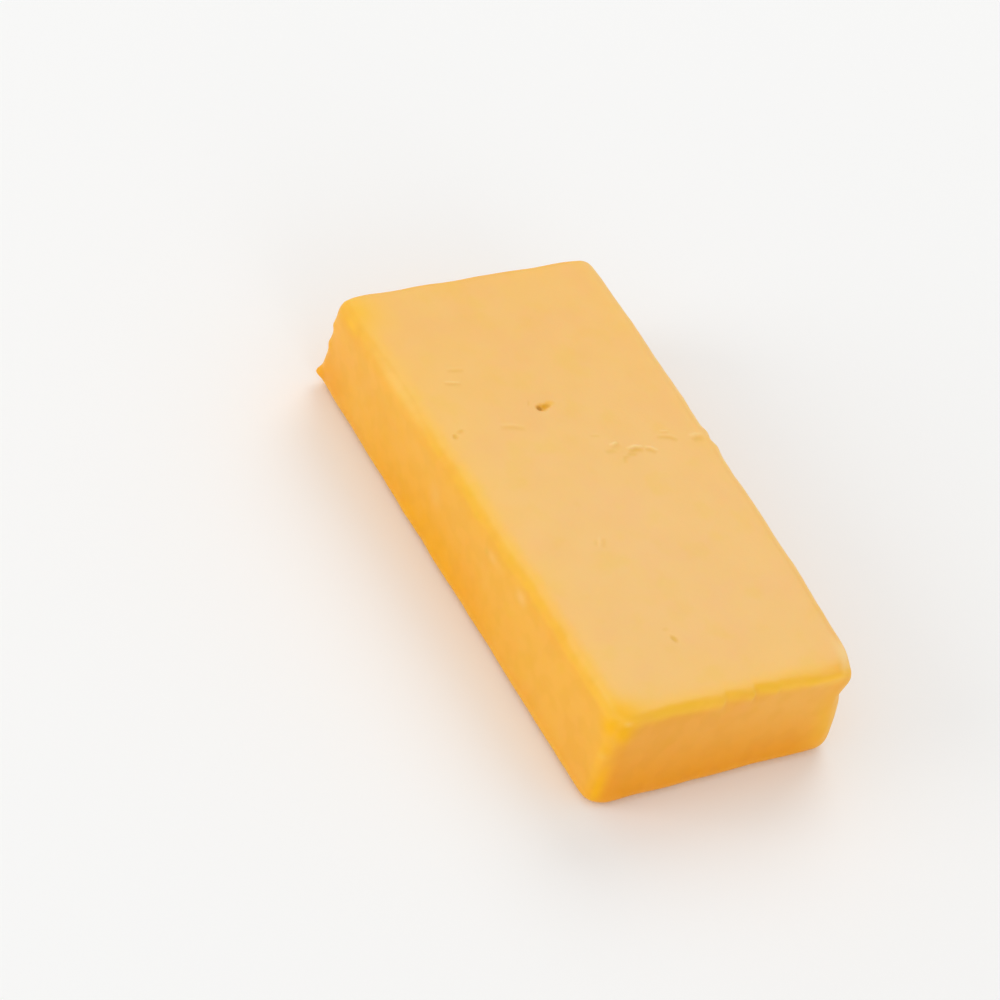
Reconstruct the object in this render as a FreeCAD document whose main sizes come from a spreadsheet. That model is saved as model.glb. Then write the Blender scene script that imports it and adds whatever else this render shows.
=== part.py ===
import FreeCAD
import Part
import Sketcher
import os

# A hand-cut block of cheddar, lying on its widest face. One piece of cheese, so one solid and one node.
#
# Millimetres and degrees. +X runs along the block to its front end, +Y to its right side, +Z up. The
# origin is at the middle of the foot, the face that it lies on. The crown is the upper face.
#
# The block was cut by hand, so no two faces are quite square: the foot is a four-sided outline whose
# corners stand a little out of, or short of, a plain length x width box, and each side leans by its own
# angle. Handling has worn the twelve edges round, each by its own amount. A few small eyes and dents are
# sunk in the crown.

NODE = "cheddar_block"

# The overall size: alias, value, meaning.
OVERALL = (
    ("length", 127.0, "nominal length, along X"),
    ("width", 61.6, "nominal width, along Y"),
    ("height", 26.6, "thickness, along Z"),
)

# The foot's corners in order: name, side along X, side along Y, then how far the corner stands out of the
# nominal length x width box along X and along Y.
CORNERS = (
    ("back_left", -1, -1, 1.0, 0.6),
    ("front_left", 1, -1, 1.2, -1.2),
    ("front_right", 1, 1, 0.4, -1.1),
    ("back_right", -1, 1, 0.0, 0.7),
)

# The four sides: name, which way it faces, the angle that it leans from upright, and whether its top
# leans out.
SIDES = (
    ("left", (0, -1), 1.4, True),
    ("front", (1, 0), 2.4, False),
    ("right", (0, 1), 1.2, True),
    ("back", (-1, 0), 1.9, False),
)

# The rounding radius of each edge. A name with two sides in it is an upright corner edge.
EDGE_ROUNDS = (
    ("crown_left", 3.8),
    ("crown_front", 2.2),
    ("crown_right", 3.2),
    ("crown_back", 2.5),
    ("foot_left", 3.0),
    ("foot_front", 3.0),
    ("foot_right", 3.0),
    ("foot_back", 2.8),
    ("front_left", 4.5),
    ("front_right", 5.0),
    ("back_left", 3.0),
    ("back_right", 3.0),
)

# Eyes and dents sunk in the crown, each a lengthened bowl. Distances are from the nominal front end and
# left side to its centre, then its length and breadth across the crown, its depth, and the turn of its
# length from the X axis.
DENTS = (
    # name, from_front, from_left, long, broad, deep, turn
    ("eye", 85.2, 28.7, 2.9, 1.3, 1.0, 94.0),
    ("speck", 86.9, 25.7, 0.8, 0.6, 0.4, 0.0),
    ("side_eye", 82.1, 5.7, 1.8, 0.9, 0.5, 118.0),
    ("dimple", 46.0, 21.5, 1.8, 0.9, 0.3, 151.0),
    ("front_eye", 17.5, 23.7, 1.5, 0.9, 0.5, 13.0),
    ("scar", 68.8, 42.4, 6.5, 1.3, 0.4, 85.0),
    ("nick", 96.4, 11.8, 3.2, 0.9, 0.25, 75.0),
)


def make_sheet(doc):
    """The spreadsheet of driving dimensions, one row each: meaning, then the value with its alias."""
    rows = list(OVERALL)
    for corner, _, _, out_x, out_y in CORNERS:
        rows.append((f"{corner}_out_x", out_x, f"the foot's {corner} corner stands out along X"))
        rows.append((f"{corner}_out_y", out_y, f"the foot's {corner} corner stands out along Y"))
    for side, _, lean, _ in SIDES:
        rows.append((f"{side}_lean", lean, f"angle of the {side} side from upright"))
    for edge, radius in EDGE_ROUNDS:
        rows.append((f"{edge}_round", radius, f"rounding radius of the {edge} edge"))
    for name, *values in DENTS:
        for key, value in zip(("from_front", "from_left", "long", "broad", "deep", "turn"), values):
            rows.append((f"{name}_{key}", value, f"dent {name}: {key}"))
    sheet = doc.addObject("Spreadsheet::Sheet", "Sizes")
    for row, (alias, value, meaning) in enumerate(rows, start=1):
        sheet.set(f"A{row}", meaning)
        sheet.set(f"B{row}", str(value))
        sheet.setAlias(f"B{row}", alias)
    doc.recompute()
    return sheet


def foot_sketch(body, plane):
    """The foot's closed four-sided outline, each corner held by its own two distances."""
    sketch = body.newObject("Sketcher::SketchObject", "foot_outline")
    sketch.AttachmentSupport = [(plane, "")]
    sketch.MapMode = "FlatFace"
    start_reach = 50.0
    ends = [FreeCAD.Vector(x * start_reach, y * start_reach, 0) for _, x, y, _, _ in CORNERS]
    for start, stop in zip(ends, ends[1:] + ends[:1]):
        sketch.addGeometry(Part.LineSegment(start, stop), False)
    for side in range(len(CORNERS)):
        sketch.addConstraint(Sketcher.Constraint("Coincident", side, 2, (side + 1) % len(CORNERS), 1))
    for side, (corner, side_x, side_y, _, _) in enumerate(CORNERS):
        for axis, span, sign in (("x", "length", side_x), ("y", "width", side_y)):
            # A distance runs from the sketch's origin to the corner, or back, so that it is positive.
            places = (-1, 1, side, 1) if sign > 0 else (side, 1, -1, 1)
            constraint = Sketcher.Constraint(f"Distance{axis.upper()}", *places, start_reach)
            index = sketch.addConstraint(constraint)
            sketch.setExpression(f"Constraints[{index}]", f"Sizes.{span} / 2 + Sizes.{corner}_out_{axis}")
    return sketch


def facing(shape, direction):
    """The name of the face whose outward normal points most nearly along a level direction."""
    aim = FreeCAD.Vector(*direction, 0)
    faces = enumerate(shape.Faces, start=1)
    return "Face%d" % max(faces, key=lambda item: item[1].normalAt(0, 0).dot(aim))[0]


def make_sharp_block(doc):
    """The block before rounding: the foot padded up to the crown, then each side leaned by its angle."""
    body = doc.addObject("PartDesign::Body", "sharp_block")
    foot_plane = next(item for item in body.Origin.OriginFeatures if item.Role == "XY_Plane")
    pad = body.newObject("PartDesign::Pad", "foot_to_crown")
    pad.Profile = foot_sketch(body, foot_plane)
    pad.setExpression("Length", "Sizes.height")
    doc.recompute()
    for side, direction, _, leans_out in SIDES:
        base = body.Tip
        draft = body.newObject("PartDesign::Draft", f"lean_{side}")
        draft.Base = (base, [facing(base.Shape, direction)])
        draft.NeutralPlane = (foot_plane, [""])
        draft.Reversed = leans_out
        draft.setExpression("Angle", f"Sizes.{side}_lean")
        doc.recompute()
    return body


def edge_name(edge, height):
    """Which of the twelve edges this is, from where its middle lies and which way it runs."""
    middle = edge.CenterOfMass
    run = edge.Vertexes[-1].Point - edge.Vertexes[0].Point
    end = "front" if middle.x > 0 else "back"
    side = "right" if middle.y > 0 else "left"
    if abs(run.z) > height / 2:
        return f"{end}_{side}"
    level = "crown" if middle.z > height / 2 else "foot"
    return f"{level}_{side if abs(run.x) > abs(run.y) else end}"


def round_edges(doc, sheet, body):
    """Every edge of the sharp block rounded by the radius that the sheet holds under its name."""
    rounded = doc.addObject("Part::Fillet", "rounded_block")
    rounded.Base = body
    edges = []
    for number, edge in enumerate(body.Shape.Edges, start=1):
        radius = sheet.get(f"{edge_name(edge, sheet.height)}_round")
        edges.append((number, radius, radius))
    rounded.Edges = edges
    return rounded


def make_dent(doc, name):
    """A bowl centred on the crown, its length turned from the X axis."""
    dent = doc.addObject("Part::Ellipsoid", name)
    dent.Angle1 = -90
    dent.setExpression("Radius1", f"Sizes.{name}_deep")
    dent.setExpression("Radius2", f"Sizes.{name}_long / 2")
    dent.setExpression("Radius3", f"Sizes.{name}_broad / 2")
    dent.setExpression(".Placement.Base.x", f"Sizes.length / 2 - Sizes.{name}_from_front")
    dent.setExpression(".Placement.Base.y", f"Sizes.{name}_from_left - Sizes.width / 2")
    dent.setExpression(".Placement.Base.z", "Sizes.height")
    dent.setExpression(".Placement.Rotation.Angle", f"Sizes.{name}_turn")
    return dent


def make_cheddar_block(doc, sheet):
    """The whole piece: the rounded block with its dents taken out."""
    rounded = round_edges(doc, sheet, make_sharp_block(doc))
    dents = doc.addObject("Part::MultiFuse", "dents")
    dents.Shapes = [make_dent(doc, name) for name, *_ in DENTS]
    block = doc.addObject("Part::Cut", NODE)
    block.Label = NODE
    block.Base = rounded
    block.Tool = dents
    doc.recompute()
    return block


def check(doc, block):
    """Stops unless every object computed, and each step took cheese away."""
    for item in doc.Objects:
        if "Invalid" in item.State or "Error" in item.State:
            raise RuntimeError(f"{item.Name} did not compute: {item.State}")
    if block.Shape.isNull() or not block.Shape.isValid() or len(block.Shape.Solids) != 1:
        raise RuntimeError(f"{NODE} is not one valid solid")
    steps = [doc.getObject(name) for name in ("sharp_block", "rounded_block", NODE)]
    for before, after in zip(steps, steps[1:]):
        if not 0 < after.Shape.Volume < before.Shape.Volume:
            raise RuntimeError(f"{after.Name} took nothing away")


def main():
    doc = FreeCAD.newDocument("CheddarBlock")
    sheet = make_sheet(doc)
    block = make_cheddar_block(doc, sheet)
    check(doc, block)
    os.makedirs("parts", exist_ok=True)
    block.Shape.exportStep(f"parts/{NODE}.step")
    print(f"{NODE}: {block.Shape.Volume / 1000:.1f} cm3, {len(block.Shape.Faces)} faces")


main()
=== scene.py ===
import math

import bmesh
import bpy
import numpy as np
from mathutils import Matrix, Vector, noise
from mathutils.bvhtree import BVHTree
from mathutils.kdtree import KDTree


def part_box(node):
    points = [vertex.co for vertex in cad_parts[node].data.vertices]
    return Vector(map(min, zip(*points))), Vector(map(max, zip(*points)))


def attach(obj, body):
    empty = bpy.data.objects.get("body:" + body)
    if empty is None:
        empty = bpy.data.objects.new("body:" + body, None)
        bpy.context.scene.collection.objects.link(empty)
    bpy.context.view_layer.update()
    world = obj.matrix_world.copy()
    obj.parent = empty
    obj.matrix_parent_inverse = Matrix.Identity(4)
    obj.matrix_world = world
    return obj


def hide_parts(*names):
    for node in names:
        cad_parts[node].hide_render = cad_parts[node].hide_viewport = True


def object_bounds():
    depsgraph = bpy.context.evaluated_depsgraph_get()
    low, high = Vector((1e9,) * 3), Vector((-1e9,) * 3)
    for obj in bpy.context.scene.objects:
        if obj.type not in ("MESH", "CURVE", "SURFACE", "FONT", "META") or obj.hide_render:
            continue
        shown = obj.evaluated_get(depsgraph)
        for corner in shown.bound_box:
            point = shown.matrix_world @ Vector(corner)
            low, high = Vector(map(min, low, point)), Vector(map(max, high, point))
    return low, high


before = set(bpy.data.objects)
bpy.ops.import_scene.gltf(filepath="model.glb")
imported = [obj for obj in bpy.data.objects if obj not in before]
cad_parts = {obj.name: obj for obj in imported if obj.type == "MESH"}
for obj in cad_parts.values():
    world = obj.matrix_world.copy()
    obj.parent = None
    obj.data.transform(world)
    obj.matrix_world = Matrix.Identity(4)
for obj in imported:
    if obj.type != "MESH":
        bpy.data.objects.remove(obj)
cad_low, cad_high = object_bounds()

# A hand-cut block of cheddar. The frame's block gives its faces and roundings; the skin built here is cast
# onto it and then gets what handling and the cutting wire leave: soft waves, uneven ridges, eyes, torn
# flakes, a worn corner. Lengths are in millimetres unless a comment says metres. +X is the front end, -Y the
# left side, and z is 0 at the foot.
# Much of the skin's colour is painted light: a sheen on the crown, highlights along the edges and on the
# flakes' lips, and shade near the foot, in the eyes and in the flakes' grooves.

MM = 0.001
NODE = "cheddar_block"
BODY = "root"

# The skin.
CELL = 0.7              # side of a cell
CORE_INSET = 5.0        # the rays start this far inside the block's box
ALONG_AXIS = 0.9999     # a ray whose direction is past this along an axis points straight at a face
FACET_SMOOTHS = 10      # passes that ease the rounded edges
FINE_REACHES = (2.4, 1.3)   # round small marks, cells are halved within each of these distances

# Waves, each given by its wavelength and height: those in the faces, and those that make an edge wander in
# or out along its length.
FACE_WAVES = ((38.0, 0.20), (13.0, 0.06), (4.5, 0.015))
RIDGE_WAVES = ((9.0, 0.26), (3.4, 0.08))
RIDGE_REACH = 4.0       # how far from an edge its waves reach
SEED_STEPS = (7.31, 3.17, 5.73)     # how far the noise moves along each axis from one seed to the next

# How the gold along an edge wanders off its line, and how its strength comes and goes in streaks of painted
# highlight.
GOLD_WANDER = ((8.0, 0.8), (3.0, 0.35))
GOLD_HIGHLIGHT_STREAKS = ((9.0, 0.6), (3.2, 0.4))
STREAK_LIMITS = (0.4, 1.3)

# The six faces: name, axis, and which end of it.
FACES = {"back": (0, 0), "front": (0, 1), "left": (1, 0), "right": (1, 1), "foot": (2, 0), "crown": (2, 1)}

# Where each edge is worn to gold, which is partly a painted highlight: name, its two faces, how far the gold
# reaches on each, how strong the gold and the painted highlight strip beside it are, and how far the surface
# is worn down.
EDGES = (
    ("crown_left", "crown", "left", 3.2, 2.6, 0.64, 0.95, 0.30),
    ("crown_front", "crown", "front", 3.2, 3.8, 0.83, 0.8, 0.10),
    ("crown_right", "crown", "right", 2.5, 4.0, 0.05, 0.3, 0.05),
    ("crown_back", "crown", "back", 2.5, 4.0, 0.35, 0.3, 0.05),
    ("foot_left", "left", "foot", 4.0, 4.0, 0.35, 0.0, 0.0),
    ("foot_front", "front", "foot", 4.0, 4.0, 0.2, 0.0, 0.0),
    ("foot_right", "right", "foot", 4.0, 4.0, 0.4, 0.0, 0.0),
    ("foot_back", "back", "foot", 4.0, 4.0, 0.4, 0.0, 0.0),
    ("front_left", "left", "front", 3.0, 3.0, 0.35, 0.0, 0.0),
    ("front_right", "right", "front", 4.0, 6.0, 0.8, 0.0, 0.0),
    ("back_left", "left", "back", 3.5, 3.5, 0.4, 0.0, 0.0),
    ("back_right", "right", "back", 3.5, 3.5, 0.5, 0.0, 0.0),
)

# How far under both of its faces an edge's fields end, how far onto its first face the wear is deepest, and
# the share of its reach on each face where the gold keeps its strength.
EDGE_DEPTH = 2.5
WEAR_PLACE = 1.5
SOLID_SHARES = (0.3, 0.15)

# The painted highlight strip on the crown, pale beside the gold: how far in it lies, its reach towards the
# edge and away from it, and how strong and how wide the faint apron of painted highlight beyond it is.
HIGHLIGHT_PLACE = 2.7
HIGHLIGHT_REACHES = (1.6, 3.0)
APRON = (0.6, 8.0)

# How far a normal points along a face's axis where its point starts to belong to that face, and where it
# fully does.
CROWN_TURN = (0.86, 0.99)
END_TURN = (0.8, 0.98)
FOOT_TURN = (0.6, 0.95)

# Painted shade: the deeper, darker orange that climbs each side from the foot: face, how far it climbs, how
# strong it is.
FOOT_SHADE_DEEPS = (("left", 8.0, 0.5), ("front", 22.0, 1.0), ("right", 14.0, 0.6), ("back", 14.0, 0.6))

# Spots of one colour, many of them painted: the glow spots and pale strips are painted highlights, the gold
# spots partly so, and the shade spots and the deeper orange and amber low down are painted shade: name,
# which colour field, place, reach (one for all axes or one for each) and strength. A negative strength takes
# that colour away.
PATCHES = (
    ("left_gap", "gold", (-35.0, -30.5, 25.5), (15.0, 5.0, 5.0), -0.88),
    ("left_gap_inner", "ridge_highlight", (-40.0, -28.0, 26.6), (20.0, 2.0, 3.0), -0.4),
    ("left_gap_pale", "ridge_highlight", (-35.0, -30.9, 26.0), (14.0, 2.0, 2.0), 0.9),
    ("left_gap_soft", "glow", (-35.0, -30.6, 26.2), (13.0, 1.6, 1.6), 0.3),
    ("corner_deep", "amber", (63.4, -27.4, 22.2), (2.3, 2.3, 3.1), 1.0),
    ("corner_band", "amber", (61.2, -29.6, 22.6), (2.8, 1.8, 2.8), 0.9),
    ("corner_soft", "gold", (60.8, -27.2, 26.2), (3.6, 4.6, 1.5), 0.85),
    ("corner_warm", "amber", (61.0, -27.4, 26.2), (3.0, 3.6, 1.5), 0.35),
    ("upright_band", "amber", (62.4, -28.9, 16.6), (1.6, 1.4, 4.4), 0.5),
    ("upright_line", "amber", (63.4, -28.3, 6.5), (1.2, 1.2, 6.0), 0.95),
    ("back_left_stroke", "gold", (-56.5, -31.3, 24.3), (3.2, 1.6, 1.0), 0.9),
    ("back_left_warm", "gold", (-58.0, -28.5, 26.6), (5.5, 5.0, 3.0), 0.7),
    ("left_low", "deep", (-8.0, -31.5, 1.0), (26.0, 6.0, 10.5), 1.0),
    ("left_foot", "amber", (-8.0, -31.5, 2.0), (28.0, 6.0, 9.5), 0.6),
    ("left_pock", "shade", (9.2, -30.9, 20.9), 0.8, 0.5),
    ("left_pock_lip", "glow", (11.4, -30.9, 21.4), (1.8, 1.5, 1.1), 0.2),
    ("left_bump", "glow", (24.0, -30.7, 22.2), (1.8, 1.5, 1.3), 0.3),
    ("left_patch", "glow", (-12.0, -31.0, 16.0), 2.2, 0.12),
    ("left_back_low", "deep", (-60.0, -31.5, 4.0), (9.0, 5.0, 9.0), 0.6),
    ("left_front_low", "deep", (57.0, -31.0, 8.0), (8.0, 4.0, 8.0), 0.2),
    ("corner_lip", "glow", (63.4, -26.9, 24.7), (0.9, 0.9, 0.5), 0.3),
    ("front_left_nub", "glow", (62.2, -29.1, 14.6), 1.0, 0.12),
    ("front_right_gold", "gold", (64.0, 27.0, 11.0), (4.0, 5.0, 11.0), 0.6),
    ("front_right_band", "gold", (63.2, 24.5, 23.8), (3.0, 4.0, 2.2), 0.95),
    ("front_right_deep", "deep", (64.0, 26.5, 9.0), (4.0, 4.5, 11.0), 0.65),
    ("front_right_foot", "amber", (64.0, 26.0, 5.0), (4.0, 4.0, 6.0), 0.3),
    ("front_right_corner", "glow", (59.0, 28.4, 26.4), (3.8, 2.0, 1.8), 0.95),
    # The crown's colour, with its painted sheen, carried round the right rim, and a painted highlight along
    # it.
    ("right_rim", "crown", (0.0, 31.0, 26.2), (120.0, 4.0, 2.4), 1.0),
    ("right_rim_light", "glow", (0.0, 30.8, 26.2), (120.0, 2.0, 1.4), 0.4),
    ("eye_rim", "glow", (-20.5, -2.5, 26.3), (0.6, 1.2, 1.2), 0.25),
    ("rim_flake_light", "glow", (-5.6, 29.2, 26.6), (1.6, 1.1, 1.5), 0.3),
)

# Eyes in the crown: name, x, y, half length, half breadth, depth, turn from the X axis, and how much brown,
# amber and olive painted shade it has inside.
EYES = (
    ("eye", -21.6, -2.65, 1.5, 1.35, 0.42, 94.0, 0.3, 0.8, 0.0),
    ("eye_core", -21.65, -3.2, 1.05, 1.1, 0.5, 94.0, 0.8, 0.6, 0.0),
    ("eye_slope", -21.8, -1.8, 1.8, 0.95, 0.22, 94.0, 0.4, 0.85, 0.0),
    ("eye_tail", -22.3, -0.7, 1.6, 1.0, 0.08, 94.0, 0.0, 0.55, 0.1),
    ("tick", -23.4, -5.1, 1.15, 0.35, 0.06, 152.0, 0.0, 0.0, 0.3),
    ("side_eye", -18.3, -25.8, 0.9, 0.7, 0.18, 150.0, 0.0, 0.0, 0.6),
    ("side_eye_tail", -19.3, -23.9, 1.2, 0.65, 0.1, 109.0, 0.0, 0.0, 0.4),
    ("fold_shade", 17.4, -10.5, 1.2, 0.6, 0.03, 152.0, 0.0, 0.0, 0.18),
    ("front_smudge", 43.1, -7.6, 0.7, 1.0, 0.03, 0.0, 0.0, 0.0, 0.2),
    ("front_eye", 46.0, -7.1, 1.3, 0.75, 0.15, 13.0, 0.05, 0.15, 0.55),
    ("mid_hollow", -4.1, 10.4, 0.8, 1.5, 0.1, 0.0, 0.0, 0.0, 0.45),
)

# An eye's bowl and the brown painted shade in it: the shares of its half length and breadth where each
# starts to fade and where it ends.
EYE_BOWL = (0.25, 1.15)
EYE_CORE = (0.3, 0.95)

# Torn flakes and scratches in the crown: name, path, half width, height of the raised lip on the back side,
# depth of the groove on the front side, how much olive painted shade the groove gets.
FLAKES = (
    ("scratch_back", ((-36.9, -18.5), (-36.6, -16.5), (-36.3, -14.6)), 0.7, 0.03, 0.07, 0.4),
    ("flake_back", ((-33.4, -20.9), (-32.9, -19.0), (-32.4, -17.2)), 0.6, 0.13, 0.06, 0.3),
    ("ridge_mid", ((-18.9, -14.7), (-18.1, -11.5), (-17.0, -9.2)), 0.8, 0.05, 0.05, 0.35),
    ("scratch_mid", ((-11.7, 3.6), (-11.0, 6.0)), 0.5, 0.02, 0.05, 0.25),
    ("flake_left", ((-7.2, 6.5), (-7.9, 8.9)), 0.8, 0.20, 0.08, 0.3),
    ("flake_left_foot", ((-6.7, 4.6), (-6.6, 7.3)), 0.9, 0.0, 0.07, 0.4),
    ("flake_mid", ((-5.5, 9.9), (-5.8, 12.0), (-5.2, 13.7)), 0.85, 0.20, 0.12, 0.65),
    ("flake_right", ((-5.2, 14.0), (-4.7, 15.2), (-3.4, 16.3)), 0.75, 0.18, 0.10, 0.5),
    ("curve", ((-2.2, 7.0), (-4.1, 8.0), (-4.0, 9.8)), 0.6, 0.02, 0.06, 0.4),
    ("scratch_right", ((-7.9, 18.2), (-7.0, 21.2), (-5.7, 22.6)), 0.7, 0.04, 0.08, 0.5),
    ("scratch_right_lip", ((-8.7, 19.4), (-8.3, 21.6)), 0.5, 0.12, 0.02, 0.1),
    ("rim_flake", ((-5.3, 25.2), (-5.7, 26.8), (-5.3, 28.6)), 1.1, 0.12, 0.09, 0.5),
    ("fold_front", ((18.9, -10.0), (16.2, -8.5)), 0.75, 0.06, 0.05, 0.3),
)

# Where a flake's lip and groove lie across its path and how wide each is, in half widths, and the height at
# which a lip gets its full painted highlight.
LIP_PLACE = 0.4
LIP_WIDTH = 0.5
GROOVE_PLACE = -0.8
GROOVE_WIDTH = 0.8
FULL_GLOW_LIP = 0.25

# Places that handling pushed in or out: name, place, reach, shift.
PUSHES = (
    ("front_right_crown", (61.5, 28.0, 26.0), 3.0, (-0.6, -1.0, 0.0)),
    ("front_right_lip", (62.0, 28.0, 21.6), 2.6, (0.4, 0.85, 0.2)),
    ("front_right_notch", (61.5, 28.5, 16.2), 1.8, (-0.3, -0.5, 0.0)),
    ("front_right_low", (61.5, 29.0, 5.0), 7.0, (0.3, 0.8, 0.0)),
    ("back_left_heel", (-63.5, -31.0, 3.5), 3.5, (0.3, 0.6, 0.0)),
    ("back_left_spur", (-63.6, -31.0, 5.0), 3.0, (-0.2, -0.7, 0.0)),
    ("back_left_nub", (-63.6, -30.8, 3.4), 1.5, (-0.4, -1.5, 0.0)),
    ("right_bump_back", (-7.0, 31.0, 26.0), 1.2, (0.0, 0.5, 0.0)),
    ("right_dip", (-4.7, 31.0, 26.0), 0.9, (0.0, -0.25, 0.0)),
    ("right_bump_front", (-2.4, 31.0, 26.0), 1.3, (0.0, 0.5, 0.0)),
    ("back_left_tooth_a", (-62.5, -31.5, 18.6), 1.1, (-0.1, -0.25, 0.0)),
    ("back_left_tooth_b", (-62.7, -31.4, 13.0), 1.1, (-0.1, -0.25, 0.0)),
)

# The crown's front edge is ragged: places along Y, and how far back it is chipped there, less than 0 where
# it stands out.
RAGGED_EDGE = (
    (-30.0, 0.0), (-13.0, 0.4), (-9.0, 0.3), (-4.1, -0.6), (-3.3, 1.0), (-0.5, 0.3), (3.3, -0.8), (3.9, 0.9),
    (9.2, -0.7), (9.9, 0.2), (14.0, -0.4), (19.0, -1.5),
)
RAGGED_REACH = 3.0      # how far from the edge its chips reach
RAGGED_SURFACE = 0.5    # the share of a chip by which the surface moves
RAGGED_GOLD = 0.5       # the share of a chip by which the gold on it moves too

# Outline.
FOOT_SWING = 1.0        # the left side's foot stands this far out at the front end, and in at the back
RIGHT_BOW = 0.55        # the right side's middle stands this far out
RIGHT_TUCK = 0.5        # and its front end this far in
TUCK_SPAN = (0.5, 0.95)     # shares of the half length where that tuck starts and is full
BENT_SHARE = 0.35       # points nearer the middle than this share of the half width stay put

# Colours, in sRGB: those of the faces, with the crown's painted sheen and the front end's partly painted
# shade, those of wear and of painted shade and highlights, laid over them in this order, and the painted
# shade and highlights of marks, laid over all the rest.
SIDE_COLOUR = (246, 181, 67)
# The crown's paler colour, and its back one, hold a painted sheen over the cheese's colour.
CROWN_COLOUR = (246, 197, 122)
CROWN_BACK_COLOUR = (247, 193, 107)
# The front end's darker, more orange colour is partly painted shade; it turns lighter towards the right.
END_COLOUR = (243, 169, 61)
END_RIGHT_COLOUR = (247, 181, 79)
WEAR_AND_LIGHT_COLOURS = {
    # In order: painted shade that deepens the orange near the foot, a painted highlight strip, gold edge
    # wear that is partly painted highlight, and amber edge colour that is also painted shade near the foot
    # and in the eyes.
    "deep": (240, 156, 8),
    "ridge_highlight": (255, 199, 95),
    "gold": (254, 194, 60),
    "amber": (251, 185, 14),
}
MARK_SHADE_AND_HIGHLIGHT_COLOURS = {
    # In order: painted shade in grooves and small eyes, painted highlights on lips, rims and bumps, and
    # painted shade in the eyes' cores.
    "shade": (230, 178, 64),
    "glow": (255, 214, 144),
    "eye_shade": (184, 118, 24),
}
FLOOR_COLOUR = (250, 250, 249)

# Where the crown's colour turns into its back one along X, and the end's into its right one along Y.
CROWN_FADE = (30.0, -70.0)
END_FADE = (-30.0, 30.0)

# Soft blotches all over, peach and olive, then speckles on the sides: wavelength, the noise at which a
# blotch starts and is full, and the tint that it multiplies the colour by.
BLOTCHES = (
    (11.0, 0.45, 0.7, (1.0, 0.972, 1.04)),
    (7.0, 0.5, 0.75, (0.985, 1.0, 0.86)),
)
SPECKLES = (5.0, 0.42, 0.62, (0.972, 0.968, 0.88))

# The finish: the gloss patches' wavelength, the noise at which they start and are full, and the roughness at
# each of those, then the fine grain's wavelength, height and strength, and how far light goes into the
# cheese.
GLOSS_LENGTH = 6.0
GLOSS_NOISE = (0.3, 0.7)
GLOSS_ROUGHNESS = (0.38, 0.5)
GRAIN_LENGTH = 1.1
GRAIN_HEIGHT = 0.2
GRAIN_STRENGTH = 0.15
SCATTER_DEPTH = 3.0

# The camera, aimed at the middle of the block's box.
CAMERA_AZIMUTH = 49.0
CAMERA_ELEVATION = 43.0
CAMERA_ROLL = 19.09
CAMERA_DISTANCE = 1061.42
CAMERA_SLIDE = (17.9, -4.14)    # how far the block lies from the picture's centre, right and up
CAMERA_LENS = 180.0

# The light: the white room's strength, then each softbox: name, azimuth, elevation, distance and size in
# metres, and power in watts.
ROOM_STRENGTH = 0.72
SOFTBOXES = (
    ("key", -12.0, 22.0, 1.2, 0.7, 3.0),
    ("fill", 80.0, 22.0, 1.2, 0.7, 1.7),
    ("veil", 229.0, 43.0, 1.4, 0.9, 4.0),
)
FLOOR_REACH = 6.0       # radius of the floor, in metres


# ---------------------------------------------------------------------------------------------- the skin

def box_lattice(cells):
    """A closed skin of square cells over a box, whose vertices lie at whole numbers."""
    skin = bmesh.new()
    made = {}

    def vertex(place):
        if place not in made:
            made[place] = skin.verts.new(place)
        return made[place]

    for axis in range(3):
        across, along = (axis + 1) % 3, (axis + 2) % 3
        for end in (0, cells[axis]):
            for a in range(cells[across]):
                for b in range(cells[along]):
                    ring = [(a, b), (a + 1, b), (a + 1, b + 1), (a, b + 1)]
                    if end == 0:
                        ring.reverse()
                    corners = []
                    for spot_a, spot_b in ring:
                        place = [0, 0, 0]
                        place[axis], place[across], place[along] = end, spot_a, spot_b
                        corners.append(vertex(tuple(place)))
                    skin.faces.new(corners)
    return skin


def mark_spots(crown):
    """Points on or near every small mark, where the cells are made finer."""
    spots = [(x, y, crown) for _, x, y, *_ in EYES]
    spots += [place for _, place, reach, _ in PUSHES if reach < FINE_REACHES[0]]
    for _, path, *_ in FLAKES:
        for start, stop in zip(path, path[1:]):
            for share in (0.0, 0.25, 0.5, 0.75, 1.0):
                spots.append((*(a + share * (b - a) for a, b in zip(start, stop)), crown))
    return spots


def refine(skin, spots, reach):
    """Halves the cells within reach of a spot."""
    tree = KDTree(len(spots))
    for index, spot in enumerate(spots):
        tree.insert(spot, index)
    tree.balance()
    near = [edge for edge in skin.edges if all(tree.find(v.co)[2] < reach for v in edge.verts)]
    bmesh.ops.subdivide_edges(skin, edges=near, cuts=1, use_grid_fill=True, use_single_edge=True)


def cast_onto(skin, cad, low, high):
    """Moves each vertex out from a core box to the frame's block, and returns those on its rounded edges."""
    surface = BVHTree.FromPolygons(
        [v.co / MM for v in cad.data.vertices], [tuple(p.vertices) for p in cad.data.polygons]
    )
    inset = Vector((CORE_INSET,) * 3)
    rounded = []
    for vertex in skin.verts:
        start = Vector(map(max, low + inset, map(min, high - inset, vertex.co)))
        out = (vertex.co - start).normalized()
        if out.z < ALONG_AXIS:      # the crown stays flat, over the block's plain dents
            vertex.co = surface.ray_cast(start, out)[0]
        if max(map(abs, out)) < ALONG_AXIS:
            rounded.append(vertex)
    return rounded


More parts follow.
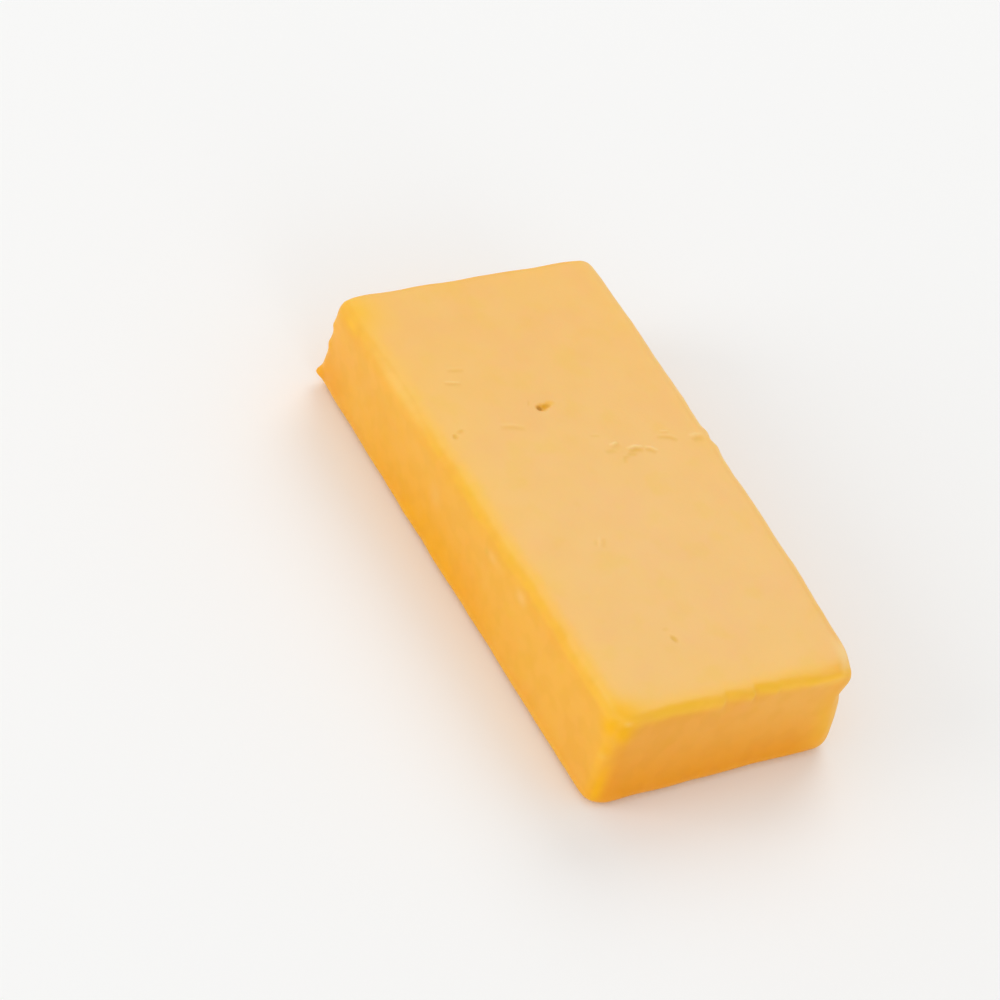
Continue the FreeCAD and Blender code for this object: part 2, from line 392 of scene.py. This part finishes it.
def make_skin(cad):
    """The skin on the frame's block, and how far each vertex was laid out from the plane of each face."""
    low, high = (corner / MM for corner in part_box(NODE))
    size = high - low
    cells = [round(length / CELL) for length in size]
    skin = box_lattice(cells)
    for vertex in skin.verts:
        share = [place / count for place, count in zip(vertex.co, cells)]
        vertex.co = Vector(a + s * b for a, s, b in zip(low, share, size))
    spots = mark_spots(high.z)
    for reach in FINE_REACHES:
        refine(skin, spots, reach)
    flat = np.array([v.co for v in skin.verts])
    insets = {name: abs(flat[:, axis] - (low, high)[end][axis]) for name, (axis, end) in FACES.items()}
    rounded = cast_onto(skin, cad, low, high)
    for _ in range(FACET_SMOOTHS):
        bmesh.ops.smooth_vert(
            skin, verts=rounded, factor=0.5, use_axis_x=True, use_axis_y=True, use_axis_z=True
        )
    skin.normal_update()
    return skin, insets


# ------------------------------------------------------------------------------------------- the shaping

def ramp(start, stop, value):
    """0 before start, 1 after stop, and a smooth turn between."""
    share = np.clip((value - start) / (stop - start), 0.0, 1.0)
    return share * share * (3.0 - 2.0 * share)


def bell(distance):
    """1 at 0, and nearly 0 past 2."""
    return np.exp(-distance * distance)


def waves(points, wavelength, seed):
    """Smooth noise, from about -1 to 1, over the points."""
    shift = Vector([seed * step for step in SEED_STEPS])
    return np.array([noise.noise(Vector(point) / wavelength + shift) for point in points])


def ripples(points, rows, seed):
    """Waves of several lengths, each given by its wavelength and height, added up."""
    return sum(tall * waves(points, long, seed + number) for number, (long, tall) in enumerate(rows))


def path_distance(points, path):
    """Signed distance across a path on the crown, positive on its back side, and the share along it."""
    nearest = np.full(len(points), np.inf)
    signed = np.full(len(points), np.inf)
    along = np.zeros(len(points))
    legs = list(zip(path, path[1:]))
    for number, (start, stop) in enumerate(legs):
        start, run = np.array(start), np.array(stop) - np.array(start)
        offset = points[:, :2] - start
        share = np.clip(offset @ run / (run @ run), 0.0, 1.0)
        distance = np.linalg.norm(offset - share[:, None] * run, axis=1)
        side = np.sign(run[0] * offset[:, 1] - run[1] * offset[:, 0])
        closer = distance < nearest
        nearest = np.where(closer, distance, nearest)
        signed = np.where(closer, distance * side, signed)
        along = np.where(closer, (number + share) / len(legs), along)
    return signed, along


def eye_field(points, crown_weight):
    """How deep the eyes go at each point, and how much brown, amber and olive painted shade they have there.
    """
    depth, brown, amber, olive = (np.zeros(len(points)) for _ in range(4))
    for _, x, y, half_long, half_broad, deep, turn, how_brown, how_amber, how_olive in EYES:
        angle = math.radians(turn)
        dx, dy = points[:, 0] - x, points[:, 1] - y
        along = (dx * math.cos(angle) + dy * math.sin(angle)) / half_long
        across = (dy * math.cos(angle) - dx * math.sin(angle)) / half_broad
        radius = np.hypot(along, across)
        bowl = (1.0 - ramp(*EYE_BOWL, radius)) * crown_weight
        core = (1.0 - ramp(*EYE_CORE, radius)) * crown_weight
        depth = np.maximum(depth, deep * bowl)
        brown = np.maximum(brown, how_brown * core)
        amber = np.maximum(amber, how_amber * bowl)
        olive = np.maximum(olive, how_olive * bowl)
    return depth, brown, amber, olive


def flake_field(points, crown_weight):
    """How far the flakes' lips rise and their grooves sink, the grooves' painted shade and the lips' painted
    highlight.
    """
    height, shade, glow = (np.zeros(len(points)) for _ in range(3))
    for _, path, half_width, lip, groove, dark in FLAKES:
        signed, along = path_distance(points, path)
        taper = np.sin(math.pi * np.clip(along, 0.0, 1.0)) ** 0.5 * crown_weight
        raised = bell((signed - LIP_PLACE * half_width) / (LIP_WIDTH * half_width)) * taper
        sunk = bell((signed - GROOVE_PLACE * half_width) / (GROOVE_WIDTH * half_width)) * taper
        height += lip * raised - groove * sunk
        shade = np.maximum(shade, dark * sunk * (1.0 - raised))
        glow = np.maximum(glow, min(1.0, lip / FULL_GLOW_LIP) * raised)
    return height, shade, glow


def ragged(points):
    """How far back the crown's front edge is chipped beside each point."""
    places, depths = zip(*RAGGED_EDGE)
    return np.interp(points[:, 1], places, depths)


def edge_fields(points, insets):
    """How gold (edge wear and painted highlight) and how much painted highlight strip each point has, how
    near it is to an edge, and how far it is worn down.
    """
    gold, ridge_highlight, near, worn = (np.zeros(len(points)) for _ in range(4))
    wander = ripples(points, GOLD_WANDER, seed=21)
    highlight_streaks = np.clip(1.0 + ripples(points, GOLD_HIGHLIGHT_STREAKS, seed=31), *STREAK_LIMITS)
    for name, first, second, first_reach, second_reach, gilt, highlight_strength, wear in EDGES:
        along_first, along_second = insets[second], insets[first]
        here = 1.0 - ramp(0.0, EDGE_DEPTH, np.minimum(along_first, along_second))
        place = along_first - along_second + wander
        if name == "crown_front":
            place -= RAGGED_GOLD * ragged(points)
        on_first = 1.0 - ramp(SOLID_SHARES[0], 1.0, place / first_reach)
        on_second = 1.0 - ramp(SOLID_SHARES[1], 1.0, -place / second_reach)
        gold = np.maximum(gold, np.minimum(1.0, gilt * highlight_streaks) * on_first * on_second * here)
        if highlight_strength:
            # The painted highlight strip beside the gold, and its faint apron.
            beyond = place - HIGHLIGHT_PLACE
            strip = bell(beyond / np.where(beyond < 0, *HIGHLIGHT_REACHES))
            apron = APRON[0] * np.exp(-np.maximum(beyond, 0.0) / APRON[1]) * (beyond > 0)
            ridge_highlight = np.maximum(ridge_highlight, highlight_strength * np.maximum(strip, apron) * here)
        near = np.maximum(near, bell(place / RIDGE_REACH) * here)
        worn += wear * bell((place - WEAR_PLACE) / RIDGE_REACH) * here
    return gold, ridge_highlight, near, worn


def side_fields(points, normals, low):
    """How much each point belongs to the crown and to the front end, and how much painted shade deepens its
    orange near the foot.
    """
    crown = ramp(*CROWN_TURN, normals[:, 2])
    end = ramp(*END_TURN, normals[:, 0])
    deep = np.zeros(len(points))
    for face, climb, strength in FOOT_SHADE_DEEPS:
        axis, far = FACES[face]
        facing = np.clip(normals[:, axis] * (1.0 if far else -1.0), 0.0, 1.0) ** 2
        deep += strength * facing * (1.0 - ramp(0.0, climb, points[:, 2] - low[2]))
    return crown, end, deep


def bend_sides(points, shaped):
    """Swings the left side's foot out towards the front end, bows the right side and tucks in its end."""
    low, high = points.min(0), points.max(0)
    low_share = 1.0 - (points[:, 2] - low[2]) / (high[2] - low[2])
    end_share = 2.0 * points[:, 0] / (high[0] - low[0])
    left_share = ramp(BENT_SHARE * low[1], low[1], points[:, 1])
    right_share = ramp(BENT_SHARE * high[1], high[1], points[:, 1])
    bow = RIGHT_BOW * np.cos(end_share * math.pi / 2) - RIGHT_TUCK * ramp(*TUCK_SPAN, end_share)
    shaped[:, 1] += bow * right_share - FOOT_SWING * end_share * low_share * left_share


def push_places(points, shaped):
    """Moves what lies near each pushed place by its shift."""
    for _, place, reach, shift in PUSHES:
        away = np.linalg.norm(points - np.array(place), axis=1) / reach
        shaped += bell(away)[:, None] * np.array(shift)


def add_patches(points, fields):
    """Lays each patch over its field, or takes that colour away where its strength is under 0."""
    for _, field, place, reach, strength in PATCHES:
        spot = strength * bell(np.linalg.norm((points - np.array(place)) / reach, axis=1))
        fields[field] = np.maximum(fields[field] * (1.0 + np.minimum(spot, 0.0)), spot)


def shape_skin(skin, insets):
    """Shapes the skin and returns its colour fields, one number for each vertex."""
    points = np.array([v.co for v in skin.verts])
    normals = np.array([v.normal for v in skin.verts])
    low = points.min(0)
    crown, end, deep = side_fields(points, normals, low)
    gold, ridge_highlight, near, worn = edge_fields(points, insets)
    depth, brown, amber, olive = eye_field(points, crown)
    flake, shade, glow = flake_field(points, crown)

    foot = ramp(*FOOT_TURN, -normals[:, 2])
    height = ripples(points, FACE_WAVES, seed=1) + near * ripples(points, RIDGE_WAVES, seed=11) - worn
    shaped = points + normals * (height * (1.0 - foot))[:, None]
    shaped[:, 2] += flake - depth
    chipped = bell(np.hypot(insets["front"], insets["crown"]) / RAGGED_REACH)
    shaped[:, 0] -= RAGGED_SURFACE * ragged(points) * chipped
    bend_sides(points, shaped)
    push_places(points, shaped)
    shaped[:, 2] = np.maximum(shaped[:, 2], low[2])
    for vertex, place in zip(skin.verts, shaped):
        vertex.co = Vector(place) * MM

    fields = {
        "crown": crown,
        "end": end,
        "deep": deep,
        "ridge_highlight": ridge_highlight,
        "gold": gold,
        "amber": amber,
        "shade": np.maximum(shade, olive),
        "glow": glow,
        "eye_shade": brown,
    }
    add_patches(points, fields)
    return fields


# --------------------------------------------------------------------------------------------- materials

def linear(colour):
    """An sRGB colour, 0 to 255, as the linear RGBA that a socket takes."""
    shares = (value / 255 for value in colour)
    return (*(s / 12.92 if s <= 0.04045 else ((s + 0.055) / 1.055) ** 2.4 for s in shares), 1.0)


class Nodes:
    """Adds nodes to a material, with short names for the kinds that are used here."""

    def __init__(self, material):
        self.tree = material.node_tree
        self.tree.nodes.clear()

    def add(self, kind, inputs=(), **settings):
        made = self.tree.nodes.new(kind)
        for key, value in settings.items():
            setattr(made, key, value)
        for socket, value in dict(inputs).items():
            if isinstance(value, bpy.types.NodeSocket):
                self.tree.links.new(value, made.inputs[socket])
            else:
                made.inputs[socket].default_value = value
        return made

    def field(self, name):
        return self.add("ShaderNodeAttribute", attribute_name=name).outputs["Fac"]

    def arithmetic(self, operation, first, second):
        return self.add("ShaderNodeMath", {0: first, 1: second}, operation=operation).outputs[0]

    def mix(self, share, first, second, **settings):
        made = self.add("ShaderNodeMix", {0: share, 6: first, 7: second}, data_type="RGBA", **settings)
        return made.outputs[2]

    def multiply(self, share, colour, tint):
        return self.mix(share, colour, (*tint, 1.0), blend_type="MULTIPLY")

    def cloud(self, wavelength, detail=2.0):
        """Noise from 0 to 1 whose features are about a wavelength, in millimetres, apart."""
        place = self.add("ShaderNodeTexCoord").outputs["Object"]
        settings = {"Vector": place, "Scale": 1.0 / (wavelength * MM), "Detail": detail}
        return self.add("ShaderNodeTexNoise", settings).outputs["Fac"]

    def span(self, value, from_low, from_high, to_low=0.0, to_high=1.0):
        """A smooth turn from one number to another while the value runs from low to high."""
        ranges = {"Value": value, 1: from_low, 2: from_high, 3: to_low, 4: to_high}
        return self.add("ShaderNodeMapRange", ranges, interpolation_type="SMOOTHSTEP").outputs[0]


def cheese_colour(nodes):
    """The face's colour, the wear, painted shade and painted highlights that the fields lay over it, and the
    blotches and speckles in it.
    """
    place = nodes.add("ShaderNodeTexCoord").outputs["Object"]
    places = nodes.add("ShaderNodeSeparateXYZ", {0: place}).outputs
    backward = nodes.span(places["X"], CROWN_FADE[0] * MM, CROWN_FADE[1] * MM)
    crown = nodes.mix(backward, linear(CROWN_COLOUR), linear(CROWN_BACK_COLOUR))
    rightward = nodes.span(places["Y"], END_FADE[0] * MM, END_FADE[1] * MM)
    end = nodes.mix(rightward, linear(END_COLOUR), linear(END_RIGHT_COLOUR))
    colour = nodes.mix(nodes.field("crown"), linear(SIDE_COLOUR), crown)
    colour = nodes.mix(nodes.field("end"), colour, end)
    # Wear, painted shade and painted highlights, in turn.
    for field, tone in WEAR_AND_LIGHT_COLOURS.items():
        colour = nodes.mix(nodes.field(field), colour, linear(tone))
    for wavelength, start, full, tint in BLOTCHES:
        colour = nodes.multiply(nodes.span(nodes.cloud(wavelength), start, full), colour, tint)
    wavelength, start, full, tint = SPECKLES
    speckle = nodes.span(nodes.cloud(wavelength, detail=1.0), start, full)
    side = nodes.arithmetic("SUBTRACT", 1.0, nodes.field("crown"))
    colour = nodes.multiply(nodes.arithmetic("MULTIPLY", side, speckle), colour, tint)
    # The marks' painted shade and painted highlights.
    for field, tone in MARK_SHADE_AND_HIGHLIGHT_COLOURS.items():
        colour = nodes.mix(nodes.field(field), colour, linear(tone))
    return colour


def cheese_material():
    """Waxy cheddar: soft gloss in patches, a fine grain, and some light from within."""
    material = bpy.data.materials.new("cheddar")
    material.use_nodes = True
    nodes = Nodes(material)
    colour = cheese_colour(nodes)
    rough = nodes.span(nodes.cloud(GLOSS_LENGTH), *GLOSS_NOISE, *GLOSS_ROUGHNESS)
    grain = nodes.cloud(GRAIN_LENGTH, detail=3.0)
    relief = {"Height": grain, "Strength": GRAIN_STRENGTH, "Distance": GRAIN_HEIGHT * MM}
    bump = nodes.add("ShaderNodeBump", relief)
    shader = nodes.add("ShaderNodeBsdfPrincipled", {
        "Base Color": colour,
        "Roughness": rough,
        "Normal": bump.outputs["Normal"],
        "IOR": 1.45,
        "Specular IOR Level": 0.2,
        "Subsurface Weight": 0.3,
        "Subsurface Radius": (1.0, 0.5, 0.18),
        "Subsurface Scale": SCATTER_DEPTH * MM,
    })
    nodes.add("ShaderNodeOutputMaterial", {"Surface": shader.outputs[0]})
    return material


def floor_material():
    """Plain, pale and matt."""
    material = bpy.data.materials.new("floor")
    material.use_nodes = True
    nodes = Nodes(material)
    shader = nodes.add("ShaderNodeBsdfPrincipled", {"Base Color": linear(FLOOR_COLOUR), "Roughness": 0.9})
    nodes.add("ShaderNodeOutputMaterial", {"Surface": shader.outputs[0]})
    return material


# ------------------------------------------------------------------------------------------------- scene

def make_block(cad):
    """The piece that stands for the frame's block, with its colour fields as attributes."""
    skin, insets = make_skin(cad)
    fields = shape_skin(skin, insets)
    mesh = bpy.data.meshes.new("cheese")
    skin.to_mesh(mesh)
    skin.free()
    for name, values in fields.items():
        layer = mesh.attributes.new(name, "FLOAT", "POINT")
        layer.data.foreach_set("value", values.astype(np.float32))
    mesh.shade_smooth()
    block = bpy.data.objects.new("cheese", mesh)
    bpy.context.scene.collection.objects.link(block)
    mesh.materials.append(cheese_material())
    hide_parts(NODE)
    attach(block, BODY)


def make_floor():
    """A wide disc at the foot's height."""
    mesh = bpy.data.meshes.new("floor")
    disc = bmesh.new()
    bmesh.ops.create_circle(disc, cap_ends=True, segments=96, radius=FLOOR_REACH)
    disc.to_mesh(mesh)
    disc.free()
    mesh.materials.append(floor_material())
    floor = bpy.data.objects.new("floor", mesh)
    bpy.context.scene.collection.objects.link(floor)


def direction(azimuth, elevation):
    """The way from the block to a camera or light: azimuth 0 is at its left side, 90 at its front end."""
    azimuth, elevation = math.radians(azimuth), math.radians(elevation)
    level = math.cos(elevation)
    return Vector((math.sin(azimuth) * level, -math.cos(azimuth) * level, math.sin(elevation)))


def make_camera(middle):
    """A camera that looks at the middle of the block, turned and slid by its own settings."""
    azimuth, roll = math.radians(CAMERA_AZIMUTH), math.radians(CAMERA_ROLL)
    back = direction(CAMERA_AZIMUTH, CAMERA_ELEVATION)
    level = Vector((math.cos(azimuth), math.sin(azimuth), 0.0))
    steep = back.cross(level)
    right = math.cos(roll) * level + math.sin(roll) * steep
    up = math.cos(roll) * steep - math.sin(roll) * level
    place = middle + (back * CAMERA_DISTANCE - right * CAMERA_SLIDE[0] - up * CAMERA_SLIDE[1]) * MM
    camera = bpy.data.objects.new("camera", bpy.data.cameras.new("camera"))
    camera.data.lens = CAMERA_LENS
    camera.matrix_world = Matrix.Translation(place) @ Matrix((right, up, back)).transposed().to_4x4()
    bpy.context.scene.collection.objects.link(camera)
    bpy.context.scene.camera = camera


def make_softbox(name, middle, azimuth, elevation, distance, size, power):
    """An area light that faces the block from a direction, given as a camera's is."""
    back = direction(azimuth, elevation)
    light = bpy.data.lights.new(name, "AREA")
    light.shape = "DISK"
    light.size = size
    light.energy = power
    holder = bpy.data.objects.new(name, light)
    holder.location = middle + back * distance
    holder.rotation_euler = back.to_track_quat("Z", "Y").to_euler()
    bpy.context.scene.collection.objects.link(holder)


def make_light(middle):
    """The white room and its softboxes."""
    world = bpy.data.worlds.new("studio")
    world.use_nodes = True
    background = world.node_tree.nodes["Background"]
    background.inputs["Color"].default_value = (1.0, 1.0, 1.0, 1.0)
    background.inputs["Strength"].default_value = ROOM_STRENGTH
    bpy.context.scene.world = world
    for name, *settings in SOFTBOXES:
        make_softbox(name, middle, *settings)


middle = (cad_low + cad_high) / 2
make_block(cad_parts[NODE])
make_floor()
make_camera(middle)
make_light(middle)
bpy.context.scene.view_settings.view_transform = "Standard"
